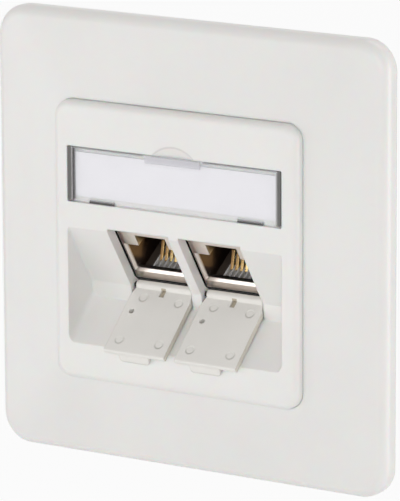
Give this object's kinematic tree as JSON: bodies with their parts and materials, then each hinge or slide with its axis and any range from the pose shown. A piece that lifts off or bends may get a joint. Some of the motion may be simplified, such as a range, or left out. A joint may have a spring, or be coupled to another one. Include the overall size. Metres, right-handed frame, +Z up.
{
  "type": "ethernet wall socket",
  "caption": "Flush wall data outlet: square cover frame, raised plate with label window and an angled recess with shielded modular jacks behind hinged dust covers.",
  "frame": {"origin": "middle of the outlet on the wall plane, between the box screw slots", "axes": "+Z up along the wall, +Y into the wall, +X to the right of a person who faces the outlet"},
  "size_m": [0.08, 0.0392, 0.08],
  "materials": {
    "frame_plastic": "satin",
    "plate_plastic": "satin",
    "flap_plastic": "satin",
    "clear_plastic": "polished",
    "label_paper": "matte",
    "screw_steel": "satin",
    "support_metal": "cast",
    "plated_shell": "polished",
    "plated_cap": "satin",
    "carrier_plastic": "matte",
    "gilt_contact": "polished",
    "board_laminate": "satin",
    "terminal_plastic": "matte",
    "blade_metal": "satin"
  },
  "bodies": {
    "outlet": {"cover_frame": "frame_plastic", "centre_plate": "plate_plastic", "label_strip": "label_paper", "plate_screw": "screw_steel", "support_frame": "support_metal", "jack_shell_left": "plated_shell", "contact_carrier_left": "carrier_plastic", "contact_left_1": "gilt_contact", "contact_left_2": "gilt_contact", "contact_left_3": "gilt_contact", "contact_left_4": "gilt_contact", "contact_left_5": "gilt_contact", "contact_left_6": "gilt_contact", "contact_left_7": "gilt_contact", "contact_left_8": "gilt_contact", "circuit_board_left": "board_laminate", "terminal_block_left": "terminal_plastic", "terminal_blades_left": "blade_metal", "rear_shell_left": "plated_cap", "jack_shell_right": "plated_shell", "contact_carrier_right": "carrier_plastic", "contact_right_1": "gilt_contact", "contact_right_2": "gilt_contact", "contact_right_3": "gilt_contact", "contact_right_4": "gilt_contact", "contact_right_5": "gilt_contact", "contact_right_6": "gilt_contact", "contact_right_7": "gilt_contact", "contact_right_8": "gilt_contact", "circuit_board_right": "board_laminate", "terminal_block_right": "terminal_plastic", "terminal_blades_right": "blade_metal", "rear_shell_right": "plated_cap"},
    "dust_cover_left": {"dust_cover_left": "flap_plastic"},
    "dust_cover_right": {"dust_cover_right": "flap_plastic"},
    "label_window": {"label_window": "clear_plastic"}
  },
  "joints": [
    {"name": "dust_cover_left_hinge", "type": "hinge", "parent": "outlet", "child": "dust_cover_left", "pos_m": [-0.00735, 0.00105, -0.00877], "axis": [-1, 0, 0], "range_deg": [0, 98.5]},
    {"name": "dust_cover_right_hinge", "type": "hinge", "parent": "outlet", "child": "dust_cover_right", "pos_m": [0.00735, 0.00105, -0.00877], "axis": [-1, 0, 0], "range_deg": [0, 98.5]},
    {"name": "label_window_tilt", "type": "hinge", "parent": "outlet", "child": "label_window", "pos_m": [0, -0.00762, 0.007], "axis": [1, 0, 0], "range_deg": [0, 35]}
  ]
}
